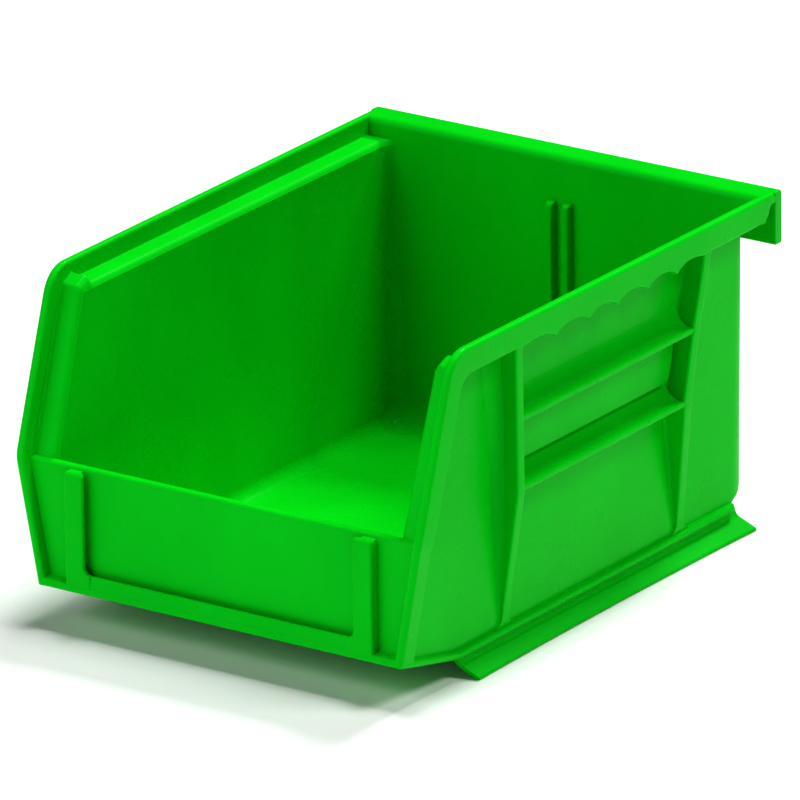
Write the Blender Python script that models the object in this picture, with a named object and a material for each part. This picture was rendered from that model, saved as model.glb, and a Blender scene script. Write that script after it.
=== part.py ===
"""Hang-and-stack hopper-front storage bin, 137 x 105 x 76 mm.

The real bin is one injection moulding. Each moulded feature is its own solid here, set
SEAM apart from its neighbours. The origin is on the surface that the bin stands on, under
the middle of its overall box: +X to the right seen from the front, -Y to the front, +Z up.
"""

import math

import bmesh
import bpy

# Overall size
OVERALL_WIDTH = 0.1050
OVERALL_DEPTH = 0.1370
OVERALL_HEIGHT = 0.0762
PLAN_TAPER = 0.012  # how much narrower the front is than the back, as a share of the width

# Moulding
WALL = 0.0020
WALL_DRAFT = 0.025  # how far the inner side walls lean in, per unit of height
SEAM = 0.0003

# Side rims and the ledges that carry the bin above
RIM_THICKNESS = 0.0021
RIM_HEIGHT = 0.0059
LEDGE_DROP = 0.0044  # rim top down to the ledge
LEDGE_WIDTH = 0.0050
LEDGE_THICKNESS = 0.0020
FRONT_RAKE = 0.340  # how far the hopper mouth leans back, per unit of height
FRONT_CORNER_RADIUS = 0.0075
FRONT_CORNER_LENGTH = 0.0070  # how far the front edge piece runs back along the rim
FLANGE_WIDTH = 0.0058
FLANGE_INNER_STEP = 0.0002  # spacing of the points that turn the flange's inner corner
FRONT_LEDGE_SETBACK = 0.0042
GRIP_START = -0.0294
GRIP_LENGTH = 0.0680
GRIP_ARCS = 6
GRIP_CUSP_DROP = 0.0073  # rim top down to the points between the finger arcs
GRIP_ARC_DROP = 0.0056  # rim top down to the crown of a finger arc

# Hopper front
NOSE_HEIGHT = 0.0378  # where the raked front edge turns down
FLANGE_FOOT_PROUD = 0.0006  # flanges and ribs outside the wall at the foot, where they lean in
FRONT_WALL_DROP = 0.0006  # nose down to the front wall's top
FRONT_WALL_THICKNESS = 0.0026
FRONT_WALL_SETBACK = 0.0025  # front wall behind the foremost edge
FRONT_LIP_TOP = 0.0112
LABEL_RIB_WIDTH = 0.005
LABEL_WINDOW_WIDTH = 0.0706
LABEL_RIB_TOP_DROP = 0.0007  # front wall's top down to a label rib's top
LABEL_SHELF_TOP = 0.0142

# Floor, and the rails under it
RAIL_HEIGHT = 0.0050
FLOOR_THICKNESS = 0.0020
RAMP_START = 0.0217  # foremost edge back to where the floor is level
RAMP_RISE = 0.0048
RAIL_SIDE_CLEARANCE = 0.0003  # between a rail and the rim of the bin below
RAIL_FRONT_SETBACK = 0.0235
RAIL_REAR_SETBACK = 0.0070
RAIL_FOOT_WIDTH = 0.0021
RAIL_LIP = 0.0009
RAIL_BOW = 0.0008  # how far each rail's middle bows in
RAIL_END_RAKE = 0.4  # how far a rail's ends lean forward, per unit of height
RAIL_FLARE_START = 0.67  # height at which a rail turns outwards, as a share of its own
BAND_HEIGHT = 0.0016
BAND_PROUD = 0.0015

# Back
BACK_SETBACK = 0.0046  # hanger lip's rear face forward to the back wall's rear face
BACK_CORNER_RADIUS = 0.0090  # back wall into floor, outside
LIP_THICKNESS = 0.0026
LIP_HEIGHT = 0.0120
WEB_THICKNESS = 0.0022
RIM_END_RADIUS = 0.0040
DIVIDER_RIB_WIDTH = 0.0018
DIVIDER_RIB_DEPTH = 0.0020
DIVIDER_SLOT = 0.0024
DIVIDER_TOP_DROP = 0.0105
DIVIDER_FOOT_CLEARANCE = 0.0030

# Outer side ribs
RIB_THICKNESS = 0.0029
RIB_INSET = 0.0003  # rib edges inside the rim's outer face
FRONT_RIB_TOP_Y = -0.0308
FRONT_RIB_NOSE_Y = -0.0306
FRONT_RIB_FOOT_Y = -0.0290
REAR_RIB_TOP_Y = 0.0405
REAR_RIB_NOSE_Y = 0.0322
REAR_RIB_FOOT_Y = 0.0375
GUSSET_TOP_RUN = 0.0062  # blend in front of the front rib, along the wall at its top
GUSSET_TOP_RISE = 0.0009
GUSSET_FOOT_RUN = 0.0016
GUSSET_FOOT_RISE = 0.0024
GUSSET_TIP_RISE = 0.0014
GUSSET_FOOT_Z = 0.0220
PANEL_RIB_EDGE = 0.0012
PANEL_RIB_SLOPE = 0.0030  # how much higher a panel rib is at its root than at its edge
PANEL_RIB_DRAFT = 0.0004
UPPER_PANEL_RIB_Z = 0.0536  # underside of its edge
LOWER_PANEL_RIB_Z = 0.0381
NAME_PANEL_THICKNESS = 0.0016

# Derived places
HALF_WIDTH = OVERALL_WIDTH / 2
FRONT_Y = -OVERALL_DEPTH / 2
REAR_Y = OVERALL_DEPTH / 2
TOP_Z = OVERALL_HEIGHT
LEDGE_Z = TOP_Z - LEDGE_DROP
LEDGE_UNDERSIDE_Z = LEDGE_Z - LEDGE_THICKNESS
RIM_INNER_X = HALF_WIDTH - RIM_THICKNESS
LEDGE_INNER_X = RIM_INNER_X - LEDGE_WIDTH
FLOOR_TOP_Z = RAIL_HEIGHT + FLOOR_THICKNESS
BACK_OUTER_Y = REAR_Y - BACK_SETBACK
BACK_INNER_Y = BACK_OUTER_Y - WALL
LIP_INNER_Y = REAR_Y - LIP_THICKNESS
FRONT_WALL_TOP = NOSE_HEIGHT - FRONT_WALL_DROP
FRONT_WALL_OUTER_Y = FRONT_Y + FRONT_WALL_SETBACK
FRONT_WALL_INNER_Y = FRONT_WALL_OUTER_Y + FRONT_WALL_THICKNESS
RAMP_END_Y = FRONT_Y + RAMP_START
RAKE_COSINE = 1 / math.sqrt(1 + FRONT_RAKE**2)
RIB_TOP_Z = LEDGE_UNDERSIDE_Z - SEAM  # also the top of the walls
FLANGE_END_Y = FRONT_Y + (TOP_Z - NOSE_HEIGHT) * FRONT_RAKE + FRONT_CORNER_LENGTH
RAIL_HALF_SPAN = RIM_INNER_X - RAIL_SIDE_CLEARANCE

GREEN = (0.0015, 0.47, 0.0085, 1.0)
SATIN_ROUGHNESS = 0.3


def clear_scene():
    for item in list(bpy.data.objects):
        bpy.data.objects.remove(item, do_unlink=True)


def moulded_plastic():
    """The one green polypropylene that the whole bin is moulded in."""
    material = bpy.data.materials.new("moulded_green")
    material.use_nodes = True
    shader = material.node_tree.nodes["Principled BSDF"]
    shader.inputs["Base Color"].default_value = GREEN
    shader.inputs["Roughness"].default_value = SATIN_ROUGHNESS
    shader.inputs["Metallic"].default_value = 0.0
    return material


def plan_scale(y):
    """Width at depth y as a share of the width at the back."""
    return 1 - PLAN_TAPER * (REAR_Y - y) / OVERALL_DEPTH


def wall_inner_x(z):
    return LEDGE_INNER_X - (LEDGE_Z - z) * WALL_DRAFT


def wall_outer_x(z):
    return wall_inner_x(z) + WALL


def envelope_x(z):
    """Outer face of the flanges: upright above the nose, leaning in to the wall below it."""
    foot_x = wall_outer_x(RAIL_HEIGHT) + FLANGE_FOOT_PROUD
    share = max(0.0, NOSE_HEIGHT - z) / (NOSE_HEIGHT - RAIL_HEIGHT)
    return HALF_WIDTH - (HALF_WIDTH - foot_x) * share


def front_edge_y(z):
    """Foremost edge of the side flanges."""
    return FRONT_Y + max(0.0, z - NOSE_HEIGHT) * FRONT_RAKE


def underside_z(y):
    """Underside of the tub: level over the rails, rising to the front, round at the back."""
    if y < RAMP_END_Y:
        return RAIL_HEIGHT + RAMP_RISE * (RAMP_END_Y - y) / RAMP_START
    arc_y = y - (BACK_OUTER_Y - BACK_CORNER_RADIUS)
    if arc_y > 0:
        reach = max(0.0, BACK_CORNER_RADIUS**2 - arc_y**2)
        return RAIL_HEIGHT + BACK_CORNER_RADIUS - math.sqrt(reach)
    return RAIL_HEIGHT


def loft(name, rings, material):
    """Closed solid through rings of (x, y, z) points, narrowed towards the front."""
    mesh = bmesh.new()
    loops = []
    for ring in rings:
        loops.append([mesh.verts.new((x * plan_scale(y), y, z)) for x, y, z in ring])
    for loop_a, loop_b in zip(loops, loops[1:]):
        count = len(loop_a)
        for i in range(count):
            j = (i + 1) % count
            mesh.faces.new((loop_a[i], loop_a[j], loop_b[j], loop_b[i]))
    mesh.faces.new(list(reversed(loops[0])))
    mesh.faces.new(loops[-1])
    bmesh.ops.triangulate(mesh, faces=mesh.faces[:])
    bmesh.ops.recalc_face_normals(mesh, faces=mesh.faces[:])
    data = bpy.data.meshes.new(name)
    mesh.to_mesh(data)
    mesh.free()
    data.materials.append(material)
    body = bpy.data.objects.new(name, data)
    bpy.context.scene.collection.objects.link(body)
    return body


def across(name, outline, half_span, material):
    """Solid from a (y, z) outline, running from one side of the bin to the other."""
    rings = []
    for side in (-1, 1):
        rings.append([(side * half_span(z), y, z) for y, z in outline])
    return loft(name, rings, material)


def both_sides(name, rings, material):
    """The same solid on the right and, mirrored, on the left."""
    loft(name + "_right", rings, material)
    mirrored = [[(-x, y, z) for x, y, z in ring] for ring in rings]
    loft(name + "_left", mirrored, material)


def arc(centre, radius, start, end, steps):
    """Points on an arc in a (y, z) plane, angles in degrees from +Y towards +Z."""
    points = []
    for i in range(steps + 1):
        angle = math.radians(start + (end - start) * i / steps)
        points.append((centre[0] + radius * math.cos(angle), centre[1] + radius * math.sin(angle)))
    return points


def inside_walls(z):
    return wall_inner_x(z) - SEAM


def floor_panel(material):
    front = RAMP_END_Y
    back = BACK_OUTER_Y - BACK_CORNER_RADIUS - SEAM
    outline = [(front, RAIL_HEIGHT), (back, RAIL_HEIGHT), (back, FLOOR_TOP_Z), (front, FLOOR_TOP_Z)]
    across("floor_panel", outline, inside_walls, material)


def floor_front_ramp(material):
    front = FRONT_WALL_INNER_Y + SEAM
    back = RAMP_END_Y - SEAM
    outline = [
        (front, underside_z(front)),
        (back, underside_z(back)),
        (back, underside_z(back) + FLOOR_THICKNESS),
        (front, underside_z(front) + FLOOR_THICKNESS),
    ]
    across("floor_front_ramp", outline, inside_walls, material)


def back_wall(material):
    """Upright wall that turns into the floor on a large radius."""
    centre = (BACK_OUTER_Y - BACK_CORNER_RADIUS, RAIL_HEIGHT + BACK_CORNER_RADIUS)
    steps = 8
    outline = arc(centre, BACK_CORNER_RADIUS, -90, 0, steps)
    outline += [(BACK_OUTER_Y, RIB_TOP_Z), (BACK_INNER_Y, RIB_TOP_Z)]
    outline += arc(centre, BACK_CORNER_RADIUS - WALL, 0, -90, steps)
    across("back_wall", outline, inside_walls, material)


def front_wall(material):
    foot = FRONT_LIP_TOP + SEAM
    outline = [
        (FRONT_WALL_OUTER_Y, foot),
        (FRONT_WALL_INNER_Y, foot),
        (FRONT_WALL_INNER_Y, FRONT_WALL_TOP),
        (FRONT_WALL_OUTER_Y, FRONT_WALL_TOP),
    ]
    across("front_wall", outline, between_flanges, material)


def between_flanges(z):
    return envelope_x(z) - RIM_THICKNESS - SEAM


def front_lip(material):
    """Full-width lip under the front wall, flush with the foremost edges."""
    outline = [
        (FRONT_Y, underside_z(FRONT_Y)),
        (FRONT_WALL_INNER_Y, underside_z(FRONT_WALL_INNER_Y)),
        (FRONT_WALL_INNER_Y, FRONT_LIP_TOP),
        (FRONT_Y, FRONT_LIP_TOP),
    ]
    across("front_lip", outline, between_flanges, material)


def label_holder(material):
    """Two upright ribs and the sloped shelf that hold a label card."""
    inner = LABEL_WINDOW_WIDTH / 2
    outer = inner + LABEL_RIB_WIDTH
    back = FRONT_WALL_OUTER_Y - SEAM
    foot = FRONT_LIP_TOP + SEAM
    top = FRONT_WALL_TOP - LABEL_RIB_TOP_DROP
    rounding = FRONT_WALL_SETBACK / 2
    rings = []
    for z, front in ((foot, FRONT_Y), (top - rounding, FRONT_Y), (top, FRONT_Y + rounding)):
        rings.append([(inner, front, z), (outer, front, z), (outer, back, z), (inner, back, z)])
    both_sides("label_rib", rings, material)

    half = inner - SEAM
    crest = LABEL_SHELF_TOP
    outline = [(FRONT_Y + SEAM, foot), (back, foot), (back, crest), (back - SEAM, crest)]
    outline.append((FRONT_Y + SEAM, foot + SEAM))
    across("label_shelf", outline, lambda z: half, material)


def raked_back_y(z):
    """Where the side wall starts behind the raked ledge."""
    return front_edge_y(z) + (FRONT_LEDGE_SETBACK + LEDGE_THICKNESS) / RAKE_COSINE + SEAM


def side_walls(material):
    front = FRONT_WALL_INNER_Y + SEAM
    ledge_foot = raked_back_y(NOSE_HEIGHT)
    ledge_top = raked_back_y(RIB_TOP_Z)
    corner = BACK_OUTER_Y - BACK_CORNER_RADIUS
    stations = [(front, FRONT_WALL_TOP), (ledge_foot, FRONT_WALL_TOP), (ledge_top, RIB_TOP_Z)]
    stations += [(RAMP_END_Y, RIB_TOP_Z), (corner, RIB_TOP_Z)]
    steps = 6
    for i in range(1, steps + 1):
        y = corner + BACK_CORNER_RADIUS * math.sin(math.radians(90 * i / steps))
        stations.append((y, RIB_TOP_Z))
    rings = []
    for y, top in sorted(stations):
        low = underside_z(y)
        ring = [(wall_inner_x(low), y, low), (wall_outer_x(low), y, low)]
        ring += [(wall_outer_x(top), y, top), (wall_inner_x(top), y, top)]
        rings.append(ring)
    both_sides("side_wall", rings, material)


def rim_underside_z(y):
    """Lower edge of a rim: finger arcs in the middle, a round end at the back."""
    along = (y - GRIP_START) / GRIP_LENGTH * GRIP_ARCS
    if 0 < along < GRIP_ARCS:
        across_arc = 2 * (along % 1) - 1
        drop = GRIP_ARC_DROP + (GRIP_CUSP_DROP - GRIP_ARC_DROP) * across_arc**2
        return TOP_Z - drop
    level = TOP_Z - RIM_HEIGHT
    past = y - (LIP_INNER_Y - SEAM - RIM_END_RADIUS)
    if past > 0:
        reach = max(0.0, RIM_END_RADIUS**2 - past**2)
        return level + RIM_END_RADIUS - math.sqrt(reach)
    return level


def rim_bands(material):
    end = LIP_INNER_Y - SEAM
    stations = [FLANGE_END_Y + SEAM]
    arc_steps = 6
    for i in range(GRIP_ARCS * arc_steps + 1):
        stations.append(GRIP_START + GRIP_LENGTH * i / (GRIP_ARCS * arc_steps))
    end_steps = 4
    for i in range(end_steps + 1):
        stations.append(end - RIM_END_RADIUS * (1 - math.sin(math.radians(75 * i / end_steps))))
    rings = []
    for y in stations:
        low = rim_underside_z(y)
        ring = [(RIM_INNER_X, y, low), (HALF_WIDTH, y, low)]
        ring += [(HALF_WIDTH, y, TOP_Z), (RIM_INNER_X, y, TOP_Z)]
        rings.append(ring)
    both_sides("rim_band", rings, material)


def front_edge_flanges(material):
    """Rim that turns the rounded top corner and runs down the raked front to the base."""
    corner_y = front_edge_y(TOP_Z)
    rake_angle = math.degrees(math.atan(FRONT_RAKE))
    half_turn = math.radians((90 - rake_angle) / 2)
    tangent = FRONT_CORNER_RADIUS * math.tan(half_turn)
    centre = (corner_y + tangent, TOP_Z - FRONT_CORNER_RADIUS)
    outer = [(FLANGE_END_Y, TOP_Z)]
    outer += arc(centre, FRONT_CORNER_RADIUS, 90, 180 - rake_angle, 6)
    inner_corner_z = TOP_Z - RIM_HEIGHT
    inner_corner = (front_edge_y(inner_corner_z) + FLANGE_WIDTH, inner_corner_z)
    inner = [(FLANGE_END_Y, inner_corner_z)]
    inner += [inner_corner] * (len(outer) - 1)
    for i in range(1, len(inner)):
        step = i - len(inner) / 2
        y, z = inner[i]
        inner[i] = (y - FLANGE_INNER_STEP * step, z - max(0, step) * FLANGE_INNER_STEP)
    lowest = underside_z(FRONT_Y)
    outer += [(FRONT_Y, NOSE_HEIGHT), (FRONT_Y, lowest)]
    inner += [(FRONT_WALL_INNER_Y, NOSE_HEIGHT), (FRONT_WALL_INNER_Y, lowest)]
    rings = []
    for (outer_y, outer_z), (inner_y, inner_z) in zip(outer, inner):
        ring = []
        for y, z in ((outer_y, outer_z), (inner_y, inner_z)):
            face = envelope_x(z)
            pair = [(face - RIM_THICKNESS, y, z), (face, y, z)]
            ring += pair if not ring else reversed(pair)
        rings.append(ring)
    both_sides("front_edge_flange", rings, material)


def stack_ledges(material):
    """Level ledges inside the rims, and the raked ones beside the hopper mouth."""
    outer_x = RIM_INNER_X - SEAM
    back = BACK_INNER_Y - SEAM
    top_front = front_edge_y(LEDGE_Z) + FRONT_LEDGE_SETBACK / RAKE_COSINE + SEAM
    low_front = raked_back_y(LEDGE_UNDERSIDE_Z)
    rings = []
    for upper_y, lower_y in ((top_front, low_front), (back, back)):
        ring = [(LEDGE_INNER_X, lower_y, LEDGE_UNDERSIDE_Z), (outer_x, lower_y, LEDGE_UNDERSIDE_Z)]
        ring += [(outer_x, upper_y, LEDGE_Z), (LEDGE_INNER_X, upper_y, LEDGE_Z)]
        rings.append(ring)
    both_sides("stack_ledge", rings, material)

    near = FRONT_LEDGE_SETBACK / RAKE_COSINE
    far = (FRONT_LEDGE_SETBACK + LEDGE_THICKNESS) / RAKE_COSINE
    foot = FRONT_WALL_TOP + SEAM
    heights = ((foot, foot), (NOSE_HEIGHT, NOSE_HEIGHT), (LEDGE_Z, LEDGE_UNDERSIDE_Z))
    rings = []
    for near_z, far_z in heights:
        ring = []
        for z, setback in ((near_z, near), (far_z, far)):
            y = front_edge_y(z) + setback
            pair = [(wall_inner_x(z), y, z), (between_flanges(z), y, z)]
            ring += pair if not ring else reversed(pair)
        rings.append(ring)
    both_sides("front_ledge", rings, material)


def hanger(material):
    """Top edge of the back wall, and the down-turned lip that hooks onto a louvred panel."""
    web_z = TOP_Z - WEB_THICKNESS
    foot = LEDGE_UNDERSIDE_Z
    outline = [
        (BACK_INNER_Y, foot),
        (BACK_OUTER_Y, foot),
        (BACK_OUTER_Y, web_z),
        (LIP_INNER_Y - SEAM, web_z),
        (LIP_INNER_Y - SEAM, TOP_Z),
        (BACK_INNER_Y, TOP_Z),
    ]
    across("back_rim", outline, lambda z: RIM_INNER_X - SEAM, material)

    lip_foot = TOP_Z - LIP_HEIGHT
    outline = [(LIP_INNER_Y, lip_foot), (REAR_Y, lip_foot), (REAR_Y, TOP_Z), (LIP_INNER_Y, TOP_Z)]
    across("hanger_lip", outline, lambda z: HALF_WIDTH, material)


def rib_centre_y(rib, z):
    """Middle of an upright rib at height z: straight to the nose height, then to its foot."""
    top_y, nose_y, foot_y = rib
    if z > NOSE_HEIGHT:
        share = (z - NOSE_HEIGHT) / (RIB_TOP_Z - NOSE_HEIGHT)
        return nose_y + (top_y - nose_y) * share
    foot_z = RAIL_HEIGHT + BAND_HEIGHT + SEAM
    share = (NOSE_HEIGHT - z) / (NOSE_HEIGHT - foot_z)
    return nose_y + (foot_y - nose_y) * share


FRONT_RIB = (FRONT_RIB_TOP_Y, FRONT_RIB_NOSE_Y, FRONT_RIB_FOOT_Y)
REAR_RIB = (REAR_RIB_TOP_Y, REAR_RIB_NOSE_Y, REAR_RIB_FOOT_Y)


def upright_ribs(material):
    foot = RAIL_HEIGHT + BAND_HEIGHT + SEAM
    for name, rib in (("front_rib", FRONT_RIB), ("rear_rib", REAR_RIB)):
        rings = []
        for z in (foot, NOSE_HEIGHT, RIB_TOP_Z):
            middle = rib_centre_y(rib, z)
            front = middle - RIB_THICKNESS / 2
            back = middle + RIB_THICKNESS / 2
            root = wall_outer_x(z) + SEAM
            edge = envelope_x(z) - RIB_INSET
            rings.append([(root, front, z), (edge, front, z), (edge, back, z), (root, back, z)])
        both_sides(name, rings, material)


def rib_gussets(material):
    """Wedges that blend the wall into the front faces of the front ribs."""
    sections = (
        (GUSSET_FOOT_Z, GUSSET_FOOT_RUN, GUSSET_TIP_RISE),
        (NOSE_HEIGHT, GUSSET_FOOT_RUN, GUSSET_FOOT_RISE),
        (RIB_TOP_Z, GUSSET_TOP_RUN, GUSSET_TOP_RISE),
    )
    rings = []
    for z, run, rise in sections:
        root = wall_outer_x(z) + SEAM
        back = rib_centre_y(FRONT_RIB, z) - RIB_THICKNESS / 2 - SEAM
        rings.append([(root, back - run, z), (root + rise, back, z), (root, back, z)])
    both_sides("front_rib_gusset", rings, material)


def with_rib_bend(profile):
    """The profile with a point added wherever it crosses the height at which the ribs bend."""
    points = []
    for (x, z), (next_x, next_z) in zip(profile, profile[1:] + profile[:1]):
        points.append((x, z))
        if (z - NOSE_HEIGHT) * (next_z - NOSE_HEIGHT) < 0:
            share = (NOSE_HEIGHT - z) / (next_z - z)
            points.append((x + (next_x - x) * share, NOSE_HEIGHT))
    return points


def panel_end_rings(profile):
    """A profile of (x, z) points, cut to end on the facing sides of the two upright ribs."""
    half = RIB_THICKNESS / 2 + SEAM
    points = with_rib_bend(profile)
    front = [(x, rib_centre_y(FRONT_RIB, z) + half, z) for x, z in points]
    back = [(x, rib_centre_y(REAR_RIB, z) - half, z) for x, z in points]
    return [front, back]


def panel_ribs(material):
    """Two level ribs with sloping tops, and the raised blank name panel between them."""
    for name, edge_z in (("upper_panel_rib", UPPER_PANEL_RIB_Z), ("lower_panel_rib", LOWER_PANEL_RIB_Z)):
        top = edge_z + PANEL_RIB_EDGE + PANEL_RIB_SLOPE
        low = edge_z - PANEL_RIB_DRAFT
        edge = HALF_WIDTH - RIB_INSET
        profile = [(wall_outer_x(low) + SEAM, low), (edge, edge_z)]
        profile += [(edge, edge_z + PANEL_RIB_EDGE), (wall_outer_x(top) + SEAM, top)]
        both_sides(name, panel_end_rings(profile), material)

    low = LOWER_PANEL_RIB_Z + PANEL_RIB_EDGE + PANEL_RIB_SLOPE + SEAM
    top = UPPER_PANEL_RIB_Z - PANEL_RIB_DRAFT - SEAM
    bend = min(max(NOSE_HEIGHT, low), top)
    half = RIB_THICKNESS / 2 + SEAM
    rings = []
    for z in sorted({low, bend, top}):
        front = rib_centre_y(FRONT_RIB, z) + half
        back = rib_centre_y(REAR_RIB, z) - half
        root = wall_outer_x(z) + SEAM
        face = wall_outer_x(z) + NAME_PANEL_THICKNESS
        rings.append([(root, front, z), (face, front, z), (face, back, z), (root, back, z)])
    both_sides("name_panel", rings, material)


def bottom_bands(material):
    """Thin bead along the lower edge of each side."""
    front = FRONT_WALL_INNER_Y + SEAM
    back = BACK_OUTER_Y - BACK_CORNER_RADIUS + WALL
    edge = wall_outer_x(RAIL_HEIGHT) + BAND_PROUD
    rings = []
    for y in (front, RAMP_END_Y, back):
        low = underside_z(y)
        top = low + BAND_HEIGHT
        ring = [(wall_outer_x(low) + SEAM, y, low), (edge, y, low)]
        ring += [(edge, y, top), (wall_outer_x(top) + SEAM, y, top)]
        rings.append(ring)
    both_sides("bottom_band", rings, material)


def stacking_rails(material):
    """Flared rails that stand on the ledges of the bin below, bowed slightly in."""
    top = RAIL_HEIGHT - SEAM
    root = wall_inner_x(top) + SEAM
    flange_root = wall_outer_x(top) + BAND_PROUD
    foot_inner = RAIL_HALF_SPAN - RAIL_FOOT_WIDTH
    profile = [
        (root, top),
        (root, top / 2),
        (foot_inner, 0.0),
        (RAIL_HALF_SPAN, 0.0),
        (RAIL_HALF_SPAN, RAIL_LIP),
        (flange_root - SEAM, top * RAIL_FLARE_START),
        (flange_root, top),
    ]
    front = FRONT_Y + RAIL_FRONT_SETBACK
    back = REAR_Y - RAIL_REAR_SETBACK
    steps = 8
    rings = []
    for i in range(steps + 1):
        share = i / steps
        bow = RAIL_BOW * (1 - (2 * share - 1) ** 2)
        ring = []
        for x, z in profile:
            y = front + (back - front) * share - z * RAIL_END_RAKE
            depth = 1 - z / top
            ring.append((x - bow * depth, y, z))
        rings.append(ring)
    both_sides("stacking_rail", rings, material)


def divider_ribs(material):
    """Pairs of ribs that hold a lengthwise divider, on the back wall and the front wall."""
    inner = DIVIDER_SLOT / 2
    outer = inner + DIVIDER_RIB_WIDTH
    back_face = BACK_INNER_Y - SEAM
    back_low = RAIL_HEIGHT + BACK_CORNER_RADIUS + DIVIDER_FOOT_CLEARANCE
    front_face = FRONT_WALL_INNER_Y + SEAM
    front_low = underside_z(front_face) + FLOOR_THICKNESS + DIVIDER_FOOT_CLEARANCE
    pairs = (
        ("back_divider_rib", back_face, back_face - DIVIDER_RIB_DEPTH, back_low, TOP_Z - DIVIDER_TOP_DROP),
        ("front_divider_rib", front_face, front_face + DIVIDER_RIB_DEPTH, front_low, FRONT_WALL_TOP - WALL),
    )
    for name, root, edge, low, top in pairs:
        rings = []
        for z in (low, top):
            rings.append([(inner, root, z), (outer, root, z), (outer, edge, z), (inner, edge, z)])
        both_sides(name, rings, material)


def build():
    clear_scene()
    plastic = moulded_plastic()
    floor_panel(plastic)
    floor_front_ramp(plastic)
    back_wall(plastic)
    front_wall(plastic)
    front_lip(plastic)
    label_holder(plastic)
    side_walls(plastic)
    rim_bands(plastic)
    front_edge_flanges(plastic)
    stack_ledges(plastic)
    hanger(plastic)
    upright_ribs(plastic)
    rib_gussets(plastic)
    panel_ribs(plastic)
    bottom_bands(plastic)
    stacking_rails(plastic)
    divider_ribs(plastic)


build()
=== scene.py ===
"""Looks of the hang-and-stack storage bin: one green injection moulding, modelled in
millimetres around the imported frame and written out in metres."""

import math

import bmesh
import bpy
from mathutils import Matrix, Vector


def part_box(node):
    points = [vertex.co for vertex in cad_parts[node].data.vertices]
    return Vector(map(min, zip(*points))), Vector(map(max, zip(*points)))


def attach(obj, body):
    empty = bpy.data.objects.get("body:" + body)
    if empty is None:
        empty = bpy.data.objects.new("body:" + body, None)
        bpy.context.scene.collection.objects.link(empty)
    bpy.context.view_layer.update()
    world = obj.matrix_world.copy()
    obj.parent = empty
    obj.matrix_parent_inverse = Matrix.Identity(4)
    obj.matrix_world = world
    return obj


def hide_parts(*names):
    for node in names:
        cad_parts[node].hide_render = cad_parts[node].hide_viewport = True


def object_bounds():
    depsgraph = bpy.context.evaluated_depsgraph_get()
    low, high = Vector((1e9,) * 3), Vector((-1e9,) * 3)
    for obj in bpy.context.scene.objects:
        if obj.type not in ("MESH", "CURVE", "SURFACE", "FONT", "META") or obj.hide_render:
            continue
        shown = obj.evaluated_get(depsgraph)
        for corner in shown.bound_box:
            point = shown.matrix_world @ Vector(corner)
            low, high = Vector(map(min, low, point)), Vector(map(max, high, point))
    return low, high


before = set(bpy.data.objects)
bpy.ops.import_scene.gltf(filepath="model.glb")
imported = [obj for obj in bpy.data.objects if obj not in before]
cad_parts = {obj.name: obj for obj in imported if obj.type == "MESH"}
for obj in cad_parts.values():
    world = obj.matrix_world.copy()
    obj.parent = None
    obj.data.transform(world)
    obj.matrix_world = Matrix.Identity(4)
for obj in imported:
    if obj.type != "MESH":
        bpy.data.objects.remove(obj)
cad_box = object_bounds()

MM = 1000.0


def node_box(node):
    """Lowest and highest corner of a CAD node, in millimetres."""
    low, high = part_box(node)
    return low * MM, high * MM


# Places read from the frame
WHOLE_LOW, WHOLE_HIGH = cad_box[0] * MM, cad_box[1] * MM
HALF_WIDTH = WHOLE_HIGH.x
FRONT = WHOLE_LOW.y
REAR = WHOLE_HIGH.y
TOP = WHOLE_HIGH.z
DEPTH = REAR - FRONT
LEDGE_TOP = node_box("stack_ledge_right")[1].z
LEDGE_BOTTOM = node_box("stack_ledge_right")[0].z
FLOOR_BOTTOM = node_box("floor_panel")[0].z
FLOOR_TOP = node_box("floor_panel")[1].z
RAMP_Y = node_box("floor_panel")[0].y
BACK_INNER = node_box("back_rim")[0].y
BACK_OUTER = node_box("back_wall")[1].y
LIP_INNER = node_box("hanger_lip")[0].y
LIP_BOTTOM = node_box("hanger_lip")[0].z
FRONT_WALL_OUTER = node_box("front_wall")[0].y
FRONT_WALL_INNER = node_box("front_wall")[1].y
FRONT_WALL_TOP = node_box("front_wall")[1].z
FRONT_LIP_BOTTOM = node_box("front_lip")[0].z
RIB_TOP = node_box("front_rib_right")[1].z
RAIL_FRONT = node_box("stacking_rail_right")[0].y
RAIL_REAR = node_box("stacking_rail_right")[1].y
LABEL_RIB_INNER, LABEL_RIB_OUTER = (corner.x for corner in node_box("label_rib_right"))
LABEL_RIB_TOP = node_box("label_rib_right")[1].z

# Sizes of the moulding
PLAN_TAPER = 0.012
WALL = 2.0
WALL_DRAFT = 0.025
RIM_THICKNESS = 2.1
LEDGE_WIDTH = 5.0
NOSE = FRONT_WALL_TOP + 0.6
RAKE = 0.34
RAKE_COSINE = 1 / math.sqrt(1 + RAKE**2)
RAKE_ANGLE = math.atan(RAKE)
FOOT_PROUD = 0.6
RIB_HALF = 1.45
HIDDEN = 0.02  # surfaces that would share a plane are set this far apart
BURIED = 0.5  # how deep a feature's root goes into what it grows from
NODE_GAP = 0.3  # the gap the CAD nodes keep to each other

LEDGE_INNER = HALF_WIDTH - RIM_THICKNESS - LEDGE_WIDTH
WALL_SETBACK = 5.2  # how far the side wall's raked edge stands behind the rim's
WALL_DROP = 1.2  # how far the side wall's top is sunk into the ledge


def plan_scale(y):
    return 1 - PLAN_TAPER * (REAR - y) / DEPTH


def wall_inner(z):
    return LEDGE_INNER - (LEDGE_TOP - z) * WALL_DRAFT


def wall_outer(z):
    return wall_inner(z) + WALL


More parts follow.
